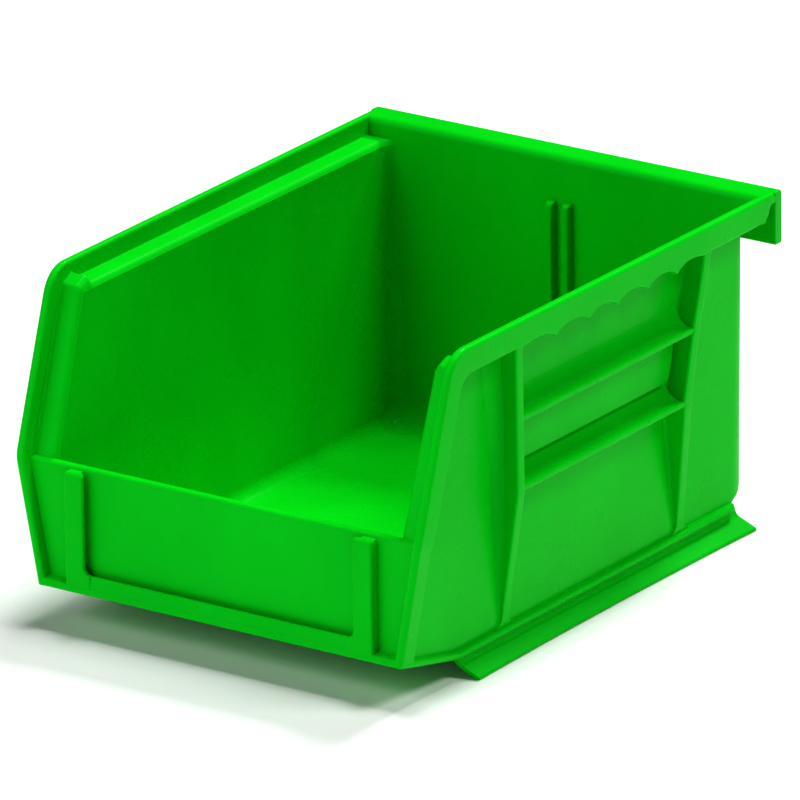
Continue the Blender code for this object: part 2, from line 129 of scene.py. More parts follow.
def envelope(z):
    """Outer face of flanges and ribs, with a soft bend at the nose."""
    foot = wall_outer(FLOOR_BOTTOM) + FOOT_PROUD
    slope = (HALF_WIDTH - foot) / (NOSE - FLOOR_BOTTOM)
    below = NOSE - z
    soft = 0.8
    return HALF_WIDTH - HIDDEN - slope * (below + math.sqrt(below**2 + soft**2)) / 2


def blend_between(stops, value):
    """Straight-line reading from (position, result) pairs in rising order."""
    if value <= stops[0][0]:
        return stops[0][1]
    for (start, first), (end, second) in zip(stops, stops[1:]):
        if value <= end:
            return first + (second - first) * (value - start) / (end - start)
    return stops[-1][1]


# ---------------------------------------------------------------- outlines


def bend(start, pull, end, share):
    """Point on the curve from start to end that leans toward pull."""
    weights = ((1 - share) ** 2, 2 * share * (1 - share), share**2)
    return tuple(sum(w * c[axis] for w, c in zip(weights, (start, pull, end))) for axis in (0, 1))


def arc(centre, radius, start, end, steps):
    """Points round a centre, angles in degrees."""
    points = []
    for step in range(steps + 1):
        angle = math.radians(start + (end - start) * step / steps)
        points.append((centre[0] + radius * math.cos(angle), centre[1] + radius * math.sin(angle)))
    return points


def rounded(corners, steps=4):
    """Outline of (a, b, radius) corners, each turned on an arc of its radius."""
    points = []
    for index, (a, b, radius) in enumerate(corners):
        if radius <= 0:
            points.append((a, b))
            continue
        here = Vector((a, b))
        before = Vector(corners[index - 1][:2]) - here
        after = Vector(corners[(index + 1) % len(corners)][:2]) - here
        half = before.angle(after) / 2
        reach = min(radius / math.tan(half), 0.49 * before.length, 0.49 * after.length)
        start = before.normalized() * reach
        end = after.normalized() * reach
        middle = (before.normalized() + after.normalized()).normalized() * reach / math.cos(half)
        first, last = start - middle, end - middle
        turn = math.atan2(first.x * last.y - first.y * last.x, first.dot(last))
        for step in range(steps + 1):
            angle = turn * step / steps
            cosine, sine = math.cos(angle), math.sin(angle)
            spoke = Vector((first.x * cosine - first.y * sine, first.x * sine + first.y * cosine))
            spot = here + middle + spoke
            points.append((spot.x, spot.y))
    return points


# ---------------------------------------------------------------- meshes

CREASE_ANGLE = 32  # degrees; sharper edges are shaded as creases


def finish_mesh(mesh, name, material, nodes):
    """Turns a bmesh in millimetres into a piece that rides on the frame."""
    bmesh.ops.remove_doubles(mesh, verts=mesh.verts[:], dist=0.002)
    bmesh.ops.dissolve_degenerate(mesh, edges=mesh.edges[:], dist=0.001)
    for vertex in mesh.verts:
        x, y, z = vertex.co
        vertex.co = Vector((x * plan_scale(y), y, z)) / MM
    bmesh.ops.recalc_face_normals(mesh, faces=mesh.faces[:])
    crease = math.radians(CREASE_ANGLE)
    for face in mesh.faces:
        face.smooth = True
    for edge in mesh.edges:
        edge.smooth = len(edge.link_faces) == 2 and edge.calc_face_angle(0) < crease
    data = bpy.data.meshes.new("moulded_" + name)
    mesh.to_mesh(data)
    mesh.free()
    data.materials.append(material)
    piece = bpy.data.objects.new(data.name, data)
    bpy.context.scene.collection.objects.link(piece)
    weigh = piece.modifiers.new("even_shading", "WEIGHTED_NORMAL")
    weigh.keep_sharp = True
    weigh.weight = 80
    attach(piece, "root")
    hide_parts(*nodes)
    return piece


def strip(mesh, first, second):
    """Faces between two open rows of the same number of vertices."""
    for index in range(len(first) - 1):
        mesh.faces.new((first[index], first[index + 1], second[index + 1], second[index]))


def loft(name, rings, material, nodes):
    """Closed solid through rings of (x, y, z) points."""
    mesh = bmesh.new()
    loops = [[mesh.verts.new(point) for point in ring] for ring in rings]
    for first, second in zip(loops, loops[1:]):
        strip(mesh, first + first[:1], second + second[:1])
    mesh.faces.new(list(reversed(loops[0])))
    mesh.faces.new(loops[-1])
    return finish_mesh(mesh, name, material, nodes)


def both_sides(name, rings, material, *nodes):
    """The same loft on the right and, mirrored, on the left."""
    for side, sign in (("right", 1), ("left", -1)):
        placed = [[(sign * x, y, z) for x, y, z in ring] for ring in rings]
        loft(f"{name}_{side}", placed, material, [f"{node}_{side}" for node in nodes])


# ---------------------------------------------------------------- tub

FLOOR_FILLET = 3.0
OUTER_FLOOR_FILLET = 1.2
INNER_CORNER = 3.0
OUTER_CORNER = 3.5
OUTER_CORNER_TOP = 5.2
BACK_INNER_RADIUS = 7.0
BACK_OUTER_RADIUS = 9.0
RAMP_SLOPE = 4.8 / 21.7


def rounded_end(y, end, radius):
    """How far a round corner of this radius, ending at y = end, has turned in at y."""
    past = y - (end - radius)
    if past <= 0:
        return 0.0
    return radius - math.sqrt(max(0.0, radius**2 - past**2))


def ramp_rise(y):
    return max(0.0, RAMP_Y - y) * RAMP_SLOPE


def tub_top(y):
    """Top of the side walls, inside the ledges."""
    raked = NOSE + (y - FRONT - WALL_SETBACK / RAKE_COSINE) / RAKE
    return min(LEDGE_TOP - WALL_DROP, max(FRONT_WALL_TOP - 0.4, raked))


def tub_section(y, top, floor, end, wall_radii, floor_radius, half_width):
    """Half of one surface's section: middle of the floor, round the corner and up the wall."""
    tuck, top_tuck = (rounded_end(y, end, radius) for radius in wall_radii)
    low = floor + floor_radius
    side = half_width(low) - tuck
    points = [(0.0, floor)]
    points += arc((side - floor_radius, low), floor_radius, -90, 0, 7)
    points.append((half_width(top) - top_tuck, top))
    return points


def tub(material):
    """Floor, side walls and back wall as one shell with its inner fillets."""
    front = FRONT_WALL_OUTER + 1.4
    rake_foot = FRONT + WALL_SETBACK / RAKE_COSINE
    rake_top = rake_foot + (LEDGE_TOP - WALL_DROP - NOSE) * RAKE
    straight = [front, rake_foot - 0.3, rake_foot + 4, rake_top, RAMP_Y, -30.0, -10.0, 10.0, 30.0, 48.0]
    stations = [(y, y) for y in straight]
    turns = 14
    for step in range(turns + 1):
        sine = math.sin(math.radians(90 * step / turns))
        inner_y = BACK_INNER - BACK_INNER_RADIUS * (1 - sine)
        outer_y = BACK_OUTER - BACK_OUTER_RADIUS * (1 - sine)
        stations.append((inner_y, outer_y))
    mesh = bmesh.new()
    skins = inner_skin, outer_skin = ([], [])
    for inner_y, outer_y in stations:
        top = tub_top(inner_y)
        floor = FLOOR_TOP + ramp_rise(inner_y)
        floor += rounded_end(inner_y, BACK_INNER, BACK_INNER_RADIUS)
        under = FLOOR_BOTTOM + ramp_rise(outer_y)
        under += rounded_end(outer_y, BACK_OUTER, BACK_OUTER_RADIUS)
        radii = (INNER_CORNER, INNER_CORNER)
        inner = tub_section(inner_y, top, floor, BACK_INNER, radii, FLOOR_FILLET, wall_inner)
        radii = (OUTER_CORNER, OUTER_CORNER_TOP)
        outer = tub_section(outer_y, top, under, BACK_OUTER, radii, OUTER_FLOOR_FILLET, wall_outer)
        for skin, half, y in ((inner_skin, inner, inner_y), (outer_skin, outer, outer_y)):
            left = [(-x, y, z) for x, z in reversed(half[1:])]
            right = [(x, y, z) for x, z in half]
            skin.append([mesh.verts.new(point) for point in left + right])
    for skin in skins:
        for first, second in zip(skin, skin[1:]):
            strip(mesh, first, second)
        mesh.faces.new(skin[-1])
    strip(mesh, inner_skin[0], outer_skin[0])
    for side in (0, -1):
        strip(mesh, [row[side] for row in inner_skin], [row[side] for row in outer_skin])
    ends = (inner_skin[-1], outer_skin[-1])
    mesh.faces.new((ends[0][0], ends[0][-1], ends[1][-1], ends[1][0]))
    nodes = ["floor_panel", "floor_front_ramp", "back_wall", "side_wall_left", "side_wall_right"]
    return finish_mesh(mesh, "tub_shell", material, nodes)


# ---------------------------------------------------------------- rims and ledges

RIM_DEPTH = 5.9
RAKE_DEPTH = 5.5
LOW_DEPTH = 4.85
OUTER_RADIUS = 7.5
CORNER_TIGHTENING = 2.5
NOSE_TANGENT = 1.6
GRIP_POINTS = (-29.5, -17.5, -5.0, 5.7, 17.2, 28.4, 38.5)
GRIP_ENDS = (GRIP_POINTS[0], GRIP_POINTS[-1])
GRIP_CROWN = 5.6
GRIP_CUSP = 7.3
GRIP_END_CUSP = RIM_DEPTH + 0.3
GRIP_ROUNDNESS = 2.2
RIM_REAR_END = (
    (58.0, 5.9),
    (61.2, 5.6),
    (62.0, 5.45),
    (62.7, 5.15),
    (63.2, 4.7),
    (63.55, 4.1),
    (63.85, 3.4),
    (64.2, 2.8),
    (64.7, 2.45),
    (65.3, 2.35),
)


def edge_path(kind, share, depth, radius):
    """(y, z) at a distance inside the rim's outline. depth is measured on the level top;
    down the rake and below the nose it narrows as the real rim does."""
    raked = depth * RAKE_DEPTH / RIM_DEPTH / RAKE_COSINE
    low = depth * LOW_DEPTH / RIM_DEPTH
    centre_z = TOP - depth - radius
    centre_y = FRONT + RAKE * (centre_z - NOSE) + raked + radius / RAKE_COSINE
    if kind == "top":
        end = BACK_INNER + 4.0
        return centre_y + (end - centre_y) * (1 - share), TOP - depth
    turn = math.pi / 2 - RAKE_ANGLE
    if kind == "corner":
        angle = math.pi / 2 + turn * share
        return centre_y + radius * math.cos(angle), centre_z + radius * math.sin(angle)
    rake_start = (
        centre_y + radius * math.cos(math.pi / 2 + turn),
        centre_z + radius * math.sin(math.pi / 2 + turn),
    )
    bend_z = NOSE + (low - raked) / RAKE
    bend_y = FRONT + low
    rake_end = (bend_y + NOSE_TANGENT * RAKE * RAKE_COSINE, bend_z + NOSE_TANGENT * RAKE_COSINE)
    if kind == "rake":
        return tuple(a + (b - a) * share for a, b in zip(rake_start, rake_end))
    low_start = (bend_y, bend_z - NOSE_TANGENT)
    if kind == "nose":
        return bend(rake_end, (bend_y, bend_z), low_start, share)
    foot = (bend_y, FLOOR_BOTTOM + ramp_rise(bend_y))
    return tuple(a + (b - a) * share for a, b in zip(low_start, foot))


def grip_drop(y):
    """Depth of the rim's lower edge: finger arcs between the ribs, a turned-up end at the back."""
    for start, end in zip(GRIP_POINTS, GRIP_POINTS[1:]):
        if start <= y <= end:
            across = 2 * (y - start) / (end - start) - 1
            cusp = GRIP_CUSP
            if (start in GRIP_ENDS and across < 0) or (end in GRIP_ENDS and across > 0):
                cusp = GRIP_END_CUSP
            return GRIP_CROWN + (cusp - GRIP_CROWN) * abs(across) ** GRIP_ROUNDNESS
    return blend_between(RIM_REAR_END, y)


def rim_top_stations():
    """Places along the level top, from back to front."""
    stations = [LIP_INNER + 0.05]
    for step in range(1, 21):
        stations.append(LIP_INNER - 0.25 * step)
    stations += [59.0, 52.0, 45.0, 40.5]
    arc_steps = 12
    for start, end in reversed(list(zip(GRIP_POINTS, GRIP_POINTS[1:]))):
        for step in range(arc_steps):
            stations.append(end + (start - end) * step / arc_steps)
    stations += [GRIP_ENDS[0], -33.0, -38.0]
    return stations


def rim_ring(kind, share, y=None):
    """Section of the upright rim at one place on its path; y places it along the level top."""
    drop = RIM_DEPTH if y is None else grip_drop(y)
    corners = [
        (0.0, 0.0, 0.95),
        (-RIM_THICKNESS, 0.0, 0.75),
        (-RIM_THICKNESS, drop, 0.4),
        (0.0, drop, 0.45),
    ]
    ring = []
    for inward, depth in rounded(corners, 4):
        inner_radius = OUTER_RADIUS - CORNER_TIGHTENING * depth / RIM_DEPTH
        spot_y, spot_z = edge_path(kind, share, depth, inner_radius)
        if y is not None:
            spot_y = y
        ring.append((envelope(spot_z) + inward, spot_y, spot_z))
    return ring


def rims(material):
    """Rim with finger grips, the rounded front corner and the flange down to the base."""
    rings = [rim_ring("top", 0.0, y) for y in rim_top_stations()]
    rings.append(rim_ring("corner", 0.0))
    for kind, steps in (("corner", 12), ("rake", 8), ("nose", 4), ("low", 6)):
        for step in range(1, steps + 1):
            rings.append(rim_ring(kind, step / steps))
    both_sides("rim", rings, material, "rim_band", "front_edge_flange")


LEDGE_SETBACK = 4.33
LEDGE_THICKNESS = 2.0
LEDGE_EDGE_RADIUS = 1.9
STOP_HEEL_Y = -48.2
STOP_RIDGE = (-49.2, 73.5)


def raked_line(z, setback):
    return FRONT + setback + RAKE * (z - NOSE)


def ledge_top_line():
    """Level shelf, the small stop at its front end, then down the rake to the front wall."""
    shoulder = LEDGE_TOP + 0.05
    foot = FRONT_WALL_TOP - 0.4
    corners = [
        (40.0, LEDGE_TOP, 0),
        (STOP_HEEL_Y, LEDGE_TOP, 0.7),
        (*STOP_RIDGE, 0.55),
        (raked_line(shoulder, LEDGE_SETBACK), shoulder, 1.2),
        (raked_line(foot, LEDGE_SETBACK), foot, 0),
    ]
    return rounded(corners, 6)


def ledge_underside(y, z):
    """Point of the ledge's hidden face under a point of its top."""
    setback = LEDGE_SETBACK + LEDGE_THICKNESS / RAKE_COSINE
    if y > raked_line(LEDGE_BOTTOM, setback):
        return y, LEDGE_BOTTOM
    low = min(LEDGE_BOTTOM, z - 0.7)
    return raked_line(low, setback), low


def ledge_ring(top, tuck):
    """Section of the stacking ledge: a shelf between the rim and the top of the wall."""
    under = ledge_underside(*top)
    wall_run = 2 * LEDGE_THICKNESS
    corners = [
        (LEDGE_WIDTH + BURIED, -0.7, 0),
        (LEDGE_WIDTH - HIDDEN, -0.7, 0),
        (LEDGE_WIDTH - HIDDEN, 0, 0.6),
        (-HIDDEN, 0, LEDGE_EDGE_RADIUS),
        (HIDDEN, wall_run, 0),
        (WALL - 0.1, wall_run, 0),
        (WALL - 0.1, LEDGE_THICKNESS, 0.4),
        (LEDGE_WIDTH + BURIED, LEDGE_THICKNESS, 0),
    ]
    ring = []
    for local_x, depth in rounded(corners, 5):
        share = depth / LEDGE_THICKNESS
        y, z = (a + (b - a) * share for a, b in zip(top, under))
        wall_face = wall_inner(z) - tuck
        spare = envelope(z) - RIM_THICKNESS - wall_face - LEDGE_WIDTH
        outward = max(0.0, (local_x - WALL) / (LEDGE_WIDTH - WALL))
        ring.append((wall_face + local_x + spare * outward, y, z))
    return ring


def ledges(material):
    rings = [ledge_ring((BACK_INNER + 1.0, LEDGE_TOP), INNER_CORNER)]
    turns = 8
    for step in range(turns, -1, -1):
        y = BACK_INNER - INNER_CORNER * (1 - math.sin(math.radians(90 * step / turns)))
        rings.append(ledge_ring((y, LEDGE_TOP), rounded_end(y, BACK_INNER, INNER_CORNER)))
    rings += [ledge_ring(top, 0.0) for top in ledge_top_line()]
    both_sides("ledge", rings, material, "stack_ledge", "front_ledge")


# ---------------------------------------------------------------- front


def across_front(name, outline, half_span, material, nodes):
    """Solid from a (y, z) outline, run from side to side."""
    rings = []
    for share in (-1.0, -0.5, 0.0, 0.5, 1.0):
        rings.append([(share * half_span(z), y, z) for y, z in outline])
    return loft(name, rings, material, nodes)


FRONT_LIP_TOP = 11.5


def front_panel(material):
    """Low front wall with the lip along its foot."""
    under_front = FRONT_LIP_BOTTOM + 1.1
    under_back = FLOOR_BOTTOM + ramp_rise(FRONT_WALL_INNER) + HIDDEN
    corners = [
        (FRONT, under_front, 0.35),
        (FRONT, FRONT_LIP_TOP, 0.45),
        (FRONT_WALL_OUTER, FRONT_LIP_TOP + 0.3, 0.9),
        (FRONT_WALL_OUTER, FRONT_WALL_TOP, 1.0),
        (FRONT_WALL_INNER, FRONT_WALL_TOP, 1.0),
        (FRONT_WALL_INNER - 0.1, under_back + WALL, 0),
        (FRONT_WALL_INNER, under_back, 0),
    ]

    def span(z):
        return envelope(z) - RIM_THICKNESS + BURIED

    nodes = ["front_wall", "front_lip"]
    across_front("front_panel", rounded(corners, 5), span, material, nodes)


SHELF_TOP = 14.2
SHELF_FILLET = 1.6
CARD_SLOT = 1.2
LABEL_RIB_FACE = FRONT + 0.05
LABEL_RIB_SKIN = 1.0
LABEL_TOP_RADIUS = 1.3
LABEL_TOP_TAPER = 0.2


def label_rib_levels():
    """(height, how far the rounded top has turned back) up one rib."""
    levels = [(FRONT_LIP_TOP - 0.6, 0.0), (SHELF_TOP - 0.3, 0.0)]
    steps = 6
    for step in range(steps + 1):
        levels.append((SHELF_TOP + SHELF_FILLET * (1 - math.cos(math.pi / 2 * step / steps)), 0.0))
    for step in range(steps + 1):
        angle = math.pi / 2 * step / steps
        rise = LABEL_TOP_RADIUS * (1 - math.sin(angle))
        levels.append((LABEL_RIB_TOP - rise, LABEL_TOP_RADIUS * (1 - math.cos(angle))))
    return levels


def label_frame(material):
    """Upright ribs, undercut for the card, and the lip between them that carries it."""
    back = FRONT_WALL_OUTER + BURIED
    slot_floor = LABEL_RIB_INNER + CARD_SLOT
    middle_x = (LABEL_RIB_INNER + LABEL_RIB_OUTER) / 2
    rings = []
    for z, tuck in label_rib_levels():
        flare = rounded_end(-z, -SHELF_TOP, SHELF_FILLET)
        inner = LABEL_RIB_INNER - flare
        corners = [
            (inner, LABEL_RIB_FACE, 0.5),
            (LABEL_RIB_OUTER, LABEL_RIB_FACE, 0.6),
            (LABEL_RIB_OUTER, back, 0),
            (slot_floor, back, 0),
            (slot_floor, LABEL_RIB_FACE + LABEL_RIB_SKIN + 0.15, 0.1),
            (inner, LABEL_RIB_FACE + LABEL_RIB_SKIN, 0.3),
        ]
        shrink = 1 - LABEL_TOP_TAPER * tuck / LABEL_TOP_RADIUS
        ring = []
        for x, y in rounded(corners, 4):
            pulled = min(back, max(y, LABEL_RIB_FACE + tuck))
            ring.append((middle_x + (x - middle_x) * shrink, pulled, z))
        rings.append(ring)
    both_sides("label_rib", rings, material, "label_rib")

    corners = [
        (FRONT + 0.15, FRONT_LIP_TOP - 0.5, 0),
        (FRONT + 0.15, FRONT_LIP_TOP, 0.2),
        (FRONT + 0.55, SHELF_TOP, 0.4),
        (FRONT + 1.2, SHELF_TOP - 0.1, 0.3),
        (FRONT + 1.2, FRONT_LIP_TOP - 0.5, 0),
    ]

    def span(_):
        return slot_floor

    across_front("label_shelf", rounded(corners, 4), span, material, ["label_shelf"])


# ---------------------------------------------------------------- outer side ribs

FRONT_RIB_LINE = ((7.0, -29.0), (NOSE, -30.6), (RIB_TOP, -30.8))
REAR_RIB_LINE = ((7.0, 37.5), (NOSE + 1.2, 32.3), (54.5, 36.0), (RIB_TOP, 40.5))
GUSSET_RUN = ((7.0, 0.6), (16.0, 0.8), (40.0, 1.8), (55.0, 3.7), (RIB_TOP, 6.3))
GUSSET_RISE = ((7.0, 0.4), (16.0, 1.2), (40.0, 2.4), (55.0, 1.9), (RIB_TOP, 0.9))
GUSSET_START = 0.62  # share of the run where the gusset first leaves the wall
GUSSET_RAMP = 0.72
GUSSET_HOLLOW = 0.28
RIB_INSET = 0.3
RIB_ROOT_RADIUS = 0.8
RIB_TIP_RADIUS = 0.55
RIB_FOOT = FLOOR_BOTTOM + 1.6
FOOT_FLARE = 2.4


def rib_levels():
    """Heights at which the upright ribs are cut, closer together round the bend."""
    levels = [RIB_FOOT - 1.0, RIB_FOOT]
    steps = 6
    for step in range(1, steps + 1):
        levels.append(RIB_FOOT + FOOT_FLARE * (1 - math.cos(math.pi / 2 * step / steps)))
    levels += [12.0, 18.0, 24.0, 30.0, 34.0]
    levels += [NOSE - 1.5, NOSE - 0.5, NOSE + 0.4, NOSE + 1.4, NOSE + 2.6]
    levels += [44.0, 49.0, 53.0, 56.0, 60.0, 65.0, RIB_TOP + 0.8]
    return levels


def rib_ring(line, z, gusset):
    """Section of an upright rib at height z, with its root just under the wall's surface."""
    middle = blend_between(line, z)
    root = wall_outer(z) - HIDDEN
    edge = envelope(z) - RIB_INSET
    height = edge - root
    half = RIB_HALF + rounded_end(-z, -RIB_FOOT, FOOT_FLARE)
    front, back = middle - half, middle + half
    radius = min(RIB_ROOT_RADIUS, 0.4 * height)
    if gusset:
        run = blend_between(GUSSET_RUN, z)
        rise = min(blend_between(GUSSET_RISE, z), 0.7 * height)
        run_on = [(root, front - run)]
        steps = 6
        for step in range(1, steps):
            turned = step / steps
            share = GUSSET_START + (1 - GUSSET_START) * turned
            lift = rise * (GUSSET_RAMP * share + GUSSET_HOLLOW * turned**2)
            run_on.append((root + lift, front - run * (1 - share)))
        run_on.append((root + rise, front))
    else:
        run_on = arc((root + radius, front - radius), radius, 180, 90, 4)
    tip = min(RIB_TIP_RADIUS, 0.3 * height)
    corners = [(root, back, 0), (root, front, 0), (edge, front, tip), (edge, back, tip)]
    flank = rounded(corners, 4)[2:]
    run_off = arc((root + radius, back + radius), radius, 270, 180, 4)
    deep = root - BURIED
    outline = [(deep, run_on[0][1])] + run_on + flank + run_off + [(deep, run_off[-1][1])]
    return [(x, y, z) for x, y in outline]


def upright_ribs(material):
    front = [rib_ring(FRONT_RIB_LINE, z, True) for z in rib_levels()]
    both_sides("front_rib", front, material, "front_rib", "front_rib_gusset")
    rear = [rib_ring(REAR_RIB_LINE, z, False) for z in rib_levels()]
    both_sides("rear_rib", rear, material, "rear_rib")


PANEL_RIB_EDGE = HALF_WIDTH - 0.45
PANEL_RIB_THICKNESS = 1.15
UPPER_PANEL_RIB = (53.5, 3.4)  # height of the edge, and how much higher the slope meets the wall
LOWER_PANEL_RIB = (38.0, 3.1)


def panel_rib_outline(edge_z, slope):
    """(x, z) section: a hollow slope from the wall out to a thin edge, flat beneath."""
    edge = PANEL_RIB_EDGE
    low, top = edge_z - 0.5, edge_z + 1.1 + slope
    corners = [
        (wall_outer(top) - BURIED, top + 1.2, 0),
        (wall_outer(low) - BURIED, low - 0.9, 0),
        (wall_outer(low) - HIDDEN, low - 0.9, 0),
        (wall_outer(low) - HIDDEN, low, 0.7),
        (edge, edge_z, 0.45),
        (edge, edge_z + PANEL_RIB_THICKNESS, 0.55),
    ]
    plain_corners, arc_steps = 3, 5
    beneath = plain_corners + 2 * (arc_steps + 1) + arc_steps
    outline = rounded(corners, arc_steps)[:beneath]
    start = (edge - 0.5, edge_z + 1.25)
    pull = (wall_outer(top) + 0.75, edge_z + 1.9)
    end = (wall_outer(top) - HIDDEN, top + 0.9)
    steps = 9
    outline += [bend(start, pull, end, step / steps) for step in range(1, steps + 1)]
    return outline


def panel_ribs(material):
    """Level ribs with sloping tops between the two upright ones."""
    for name, place in (("upper_panel_rib", UPPER_PANEL_RIB), ("lower_panel_rib", LOWER_PANEL_RIB)):
        outline = panel_rib_outline(*place)
        rings = []
        for share in (0.0, 0.25, 0.5, 0.75, 1.0):
            ring = []
            for x, z in outline:
                start, end = blend_between(FRONT_RIB_LINE, z), blend_between(REAR_RIB_LINE, z)
                ring.append((x, start + (end - start) * share, z))
            rings.append(ring)
        both_sides(name, rings, material, name)


NAME_PANEL_LOW, NAME_PANEL_TOP = 42.9, 52.5
NAME_PANEL_MARGIN = RIB_HALF + 0.9
NAME_PANEL_CORNER = 1.6
NAME_PANEL_PROFILE = ((-BURIED, 0.0), (1.0, 0.05), (1.35, 0.15), (1.55, 0.32), (1.6, 0.6))  # height, inset


def name_panels(material):
    """Raised blank plaque with rounded corners between the level ribs."""
    low, top = NAME_PANEL_LOW, NAME_PANEL_TOP
    half_length, half_height = 30.0, (top - low) / 2
    corners = [
        (blend_between(FRONT_RIB_LINE, low) + NAME_PANEL_MARGIN, low, NAME_PANEL_CORNER),
        (blend_between(REAR_RIB_LINE, low) - NAME_PANEL_MARGIN, low, NAME_PANEL_CORNER),
        (blend_between(REAR_RIB_LINE, top) - NAME_PANEL_MARGIN, top, NAME_PANEL_CORNER),
        (blend_between(FRONT_RIB_LINE, top) + NAME_PANEL_MARGIN, top, NAME_PANEL_CORNER),
    ]
    outline = rounded(corners, 6)
    middle_y = sum(y for y, _ in outline) / len(outline)
    middle_z = (low + top) / 2
    rings = []
    for height, inset in NAME_PANEL_PROFILE:
        ring = []
        for y, z in outline:
            near_y = middle_y + (y - middle_y) * (1 - inset / half_length)
            near_z = middle_z + (z - middle_z) * (1 - inset / half_height)
            ring.append((wall_outer(near_z) + height, near_y, near_z))
        rings.append(ring)
    both_sides("name_panel", rings, material, "name_panel")


# ---------------------------------------------------------------- base

BAND_PROUD = 1.5
BAND_HEIGHT = 2.4
BAND_END = 58.3
BAND_END_ROUNDING = 0.5


def bottom_bands(material):
    """Bead along the lower edge of each side, following the ramp."""
    stations = [FRONT + 1.2, -60.0, -54.0, RAMP_Y - 2, RAMP_Y, RAMP_Y + 2]
    stations += [-30.0, 0.0, 30.0, 50.0, BAND_END - 0.7, BAND_END]
    rings = []
    for y in stations:
        low = FLOOR_BOTTOM - 0.1 + ramp_rise(y)
        proud = BAND_PROUD if y < BAND_END else BAND_PROUD - BAND_END_ROUNDING
        corners = [
            (-BURIED, 0.0, 0),
            (proud - 0.2, 0.0, 0.4),
            (proud, 0.7, 0.35),
            (proud - 0.15, 1.5, 0.5),
            (-HIDDEN, 1.75, 0.4),
            (-HIDDEN, BAND_HEIGHT, 0),
            (-BURIED, BAND_HEIGHT, 0),
        ]
        rings.append([(wall_outer(low) + x, y, low + z) for x, z in rounded(corners, 4)])
    both_sides("bottom_band", rings, material, "bottom_band")


RAIL_SLANT = 0.4
RAIL_BOW = 0.8
RAIL_CLEARANCE = 0.1
RAIL_FRONT_INSET = 0.8
RAIL_ROOT = 0.25
RAIL_THICKNESS = 1.25


def stacking_rails(material):
    """Thin flared rails, bowed in a little between their ends."""
    top = FLOOR_BOTTOM + 0.3
    root = wall_outer(top) + RAIL_ROOT
    foot = HALF_WIDTH - RIM_THICKNESS - RAIL_CLEARANCE
    corners = [
        (root - RAIL_THICKNESS, top, 0),
        (root - RAIL_THICKNESS, top - 2.3, 1.2),
        (foot - 1.2, 0.0, 0.3),
        (foot, 0.0, 0.35),
        (foot, 0.8, 0.35),
        (root, top - 2.0, 1.5),
        (root, top, 0),
    ]
    outline = rounded(corners, 6)
    front = RAIL_FRONT + RAIL_SLANT * FLOOR_BOTTOM + RAIL_FRONT_INSET
    rings = []
    steps = 16
    for step in range(steps + 1):
        share = step / steps
        bow = RAIL_BOW * (1 - (2 * share - 1) ** 2)
        ring = []
        for x, z in outline:
            y = front + (RAIL_REAR - front) * share - RAIL_SLANT * z
            ring.append((x - bow * (1 - z / top), y, z))
        rings.append(ring)
    both_sides("stacking_rail", rings, material, "stacking_rail")


# ---------------------------------------------------------------- back


WEB_THICKNESS = 2.2
WEB_END_INSET = 1.0
LIP_END_RADIUS = 0.45


def hanger(material):
    """Top edge of the back wall, and the lip that hooks over a louvred panel."""
    corners = [
        (BACK_INNER - HIDDEN, LEDGE_BOTTOM, 0),
        (BACK_OUTER - 0.1, LEDGE_BOTTOM, 0),
        (BACK_OUTER - 0.1, TOP - WEB_THICKNESS, 0.4),
        (LIP_INNER + BURIED, TOP - WEB_THICKNESS, 0),
        (LIP_INNER + BURIED, TOP - HIDDEN, 0),
        (BACK_INNER - HIDDEN, TOP - HIDDEN, 1.8),
    ]

    def web_span(_):
        return HALF_WIDTH - WEB_END_INSET

    across_front("back_rim", rounded(corners, 5), web_span, material, ["back_rim"])

    corners = [
        (LIP_INNER, LIP_BOTTOM, 0.5),
        (REAR, LIP_BOTTOM, 0.5),
        (REAR, TOP, 0.4),
        (LIP_INNER, TOP, 0.1),
    ]
    outline = rounded(corners, 5)
    right_end = []
    steps = 4
    for step in range(steps + 1):
        angle = math.pi / 2 * step / steps
        reach = HALF_WIDTH - LIP_END_RADIUS * (1 - math.sin(angle))
        right_end.append((reach, LIP_END_RADIUS * (1 - math.cos(angle))))
    middle_y, middle_z = (LIP_INNER + REAR) / 2, (LIP_BOTTOM + TOP) / 2
    rings = []
    for x, tuck in [(-reach, tuck) for reach, tuck in reversed(right_end)] + right_end:
        shrink_y = 1 - 0.8 * tuck / (REAR - LIP_INNER)
        shrink_z = 1 - 1.2 * tuck / (TOP - LIP_BOTTOM)
        ring = []
        for y, z in outline:
            ring.append((x, middle_y + (y - middle_y) * shrink_y, middle_z + (z - middle_z) * shrink_z))
        rings.append(ring)
    loft("hanger_lip", rings, material, ["hanger_lip"])


def divider_ribs(material):
    """Pairs of upright ribs that would hold a lengthwise divider."""
    for node in ("back_divider_rib", "front_divider_rib"):
        low, high = node_box(node + "_right")
        back = node.startswith("back")
        root = high.y + NODE_GAP + BURIED if back else low.y - NODE_GAP - BURIED
        edge = low.y if back else high.y
        rings = []
        for z, share in ((low.z, 1.0), (high.z - 1.2, 1.0), (high.z - 0.4, 0.85), (high.z, 0.5)):
            tip = root + (edge - root) * share
            corners = [(low.x, root, 0), (high.x, root, 0), (high.x, tip, 0.5), (low.x, tip, 0.5)]
            rings.append([(x, y, z) for x, y in rounded(corners, 4)])
        both_sides(node, rings, material, node)


# ---------------------------------------------------------------- material


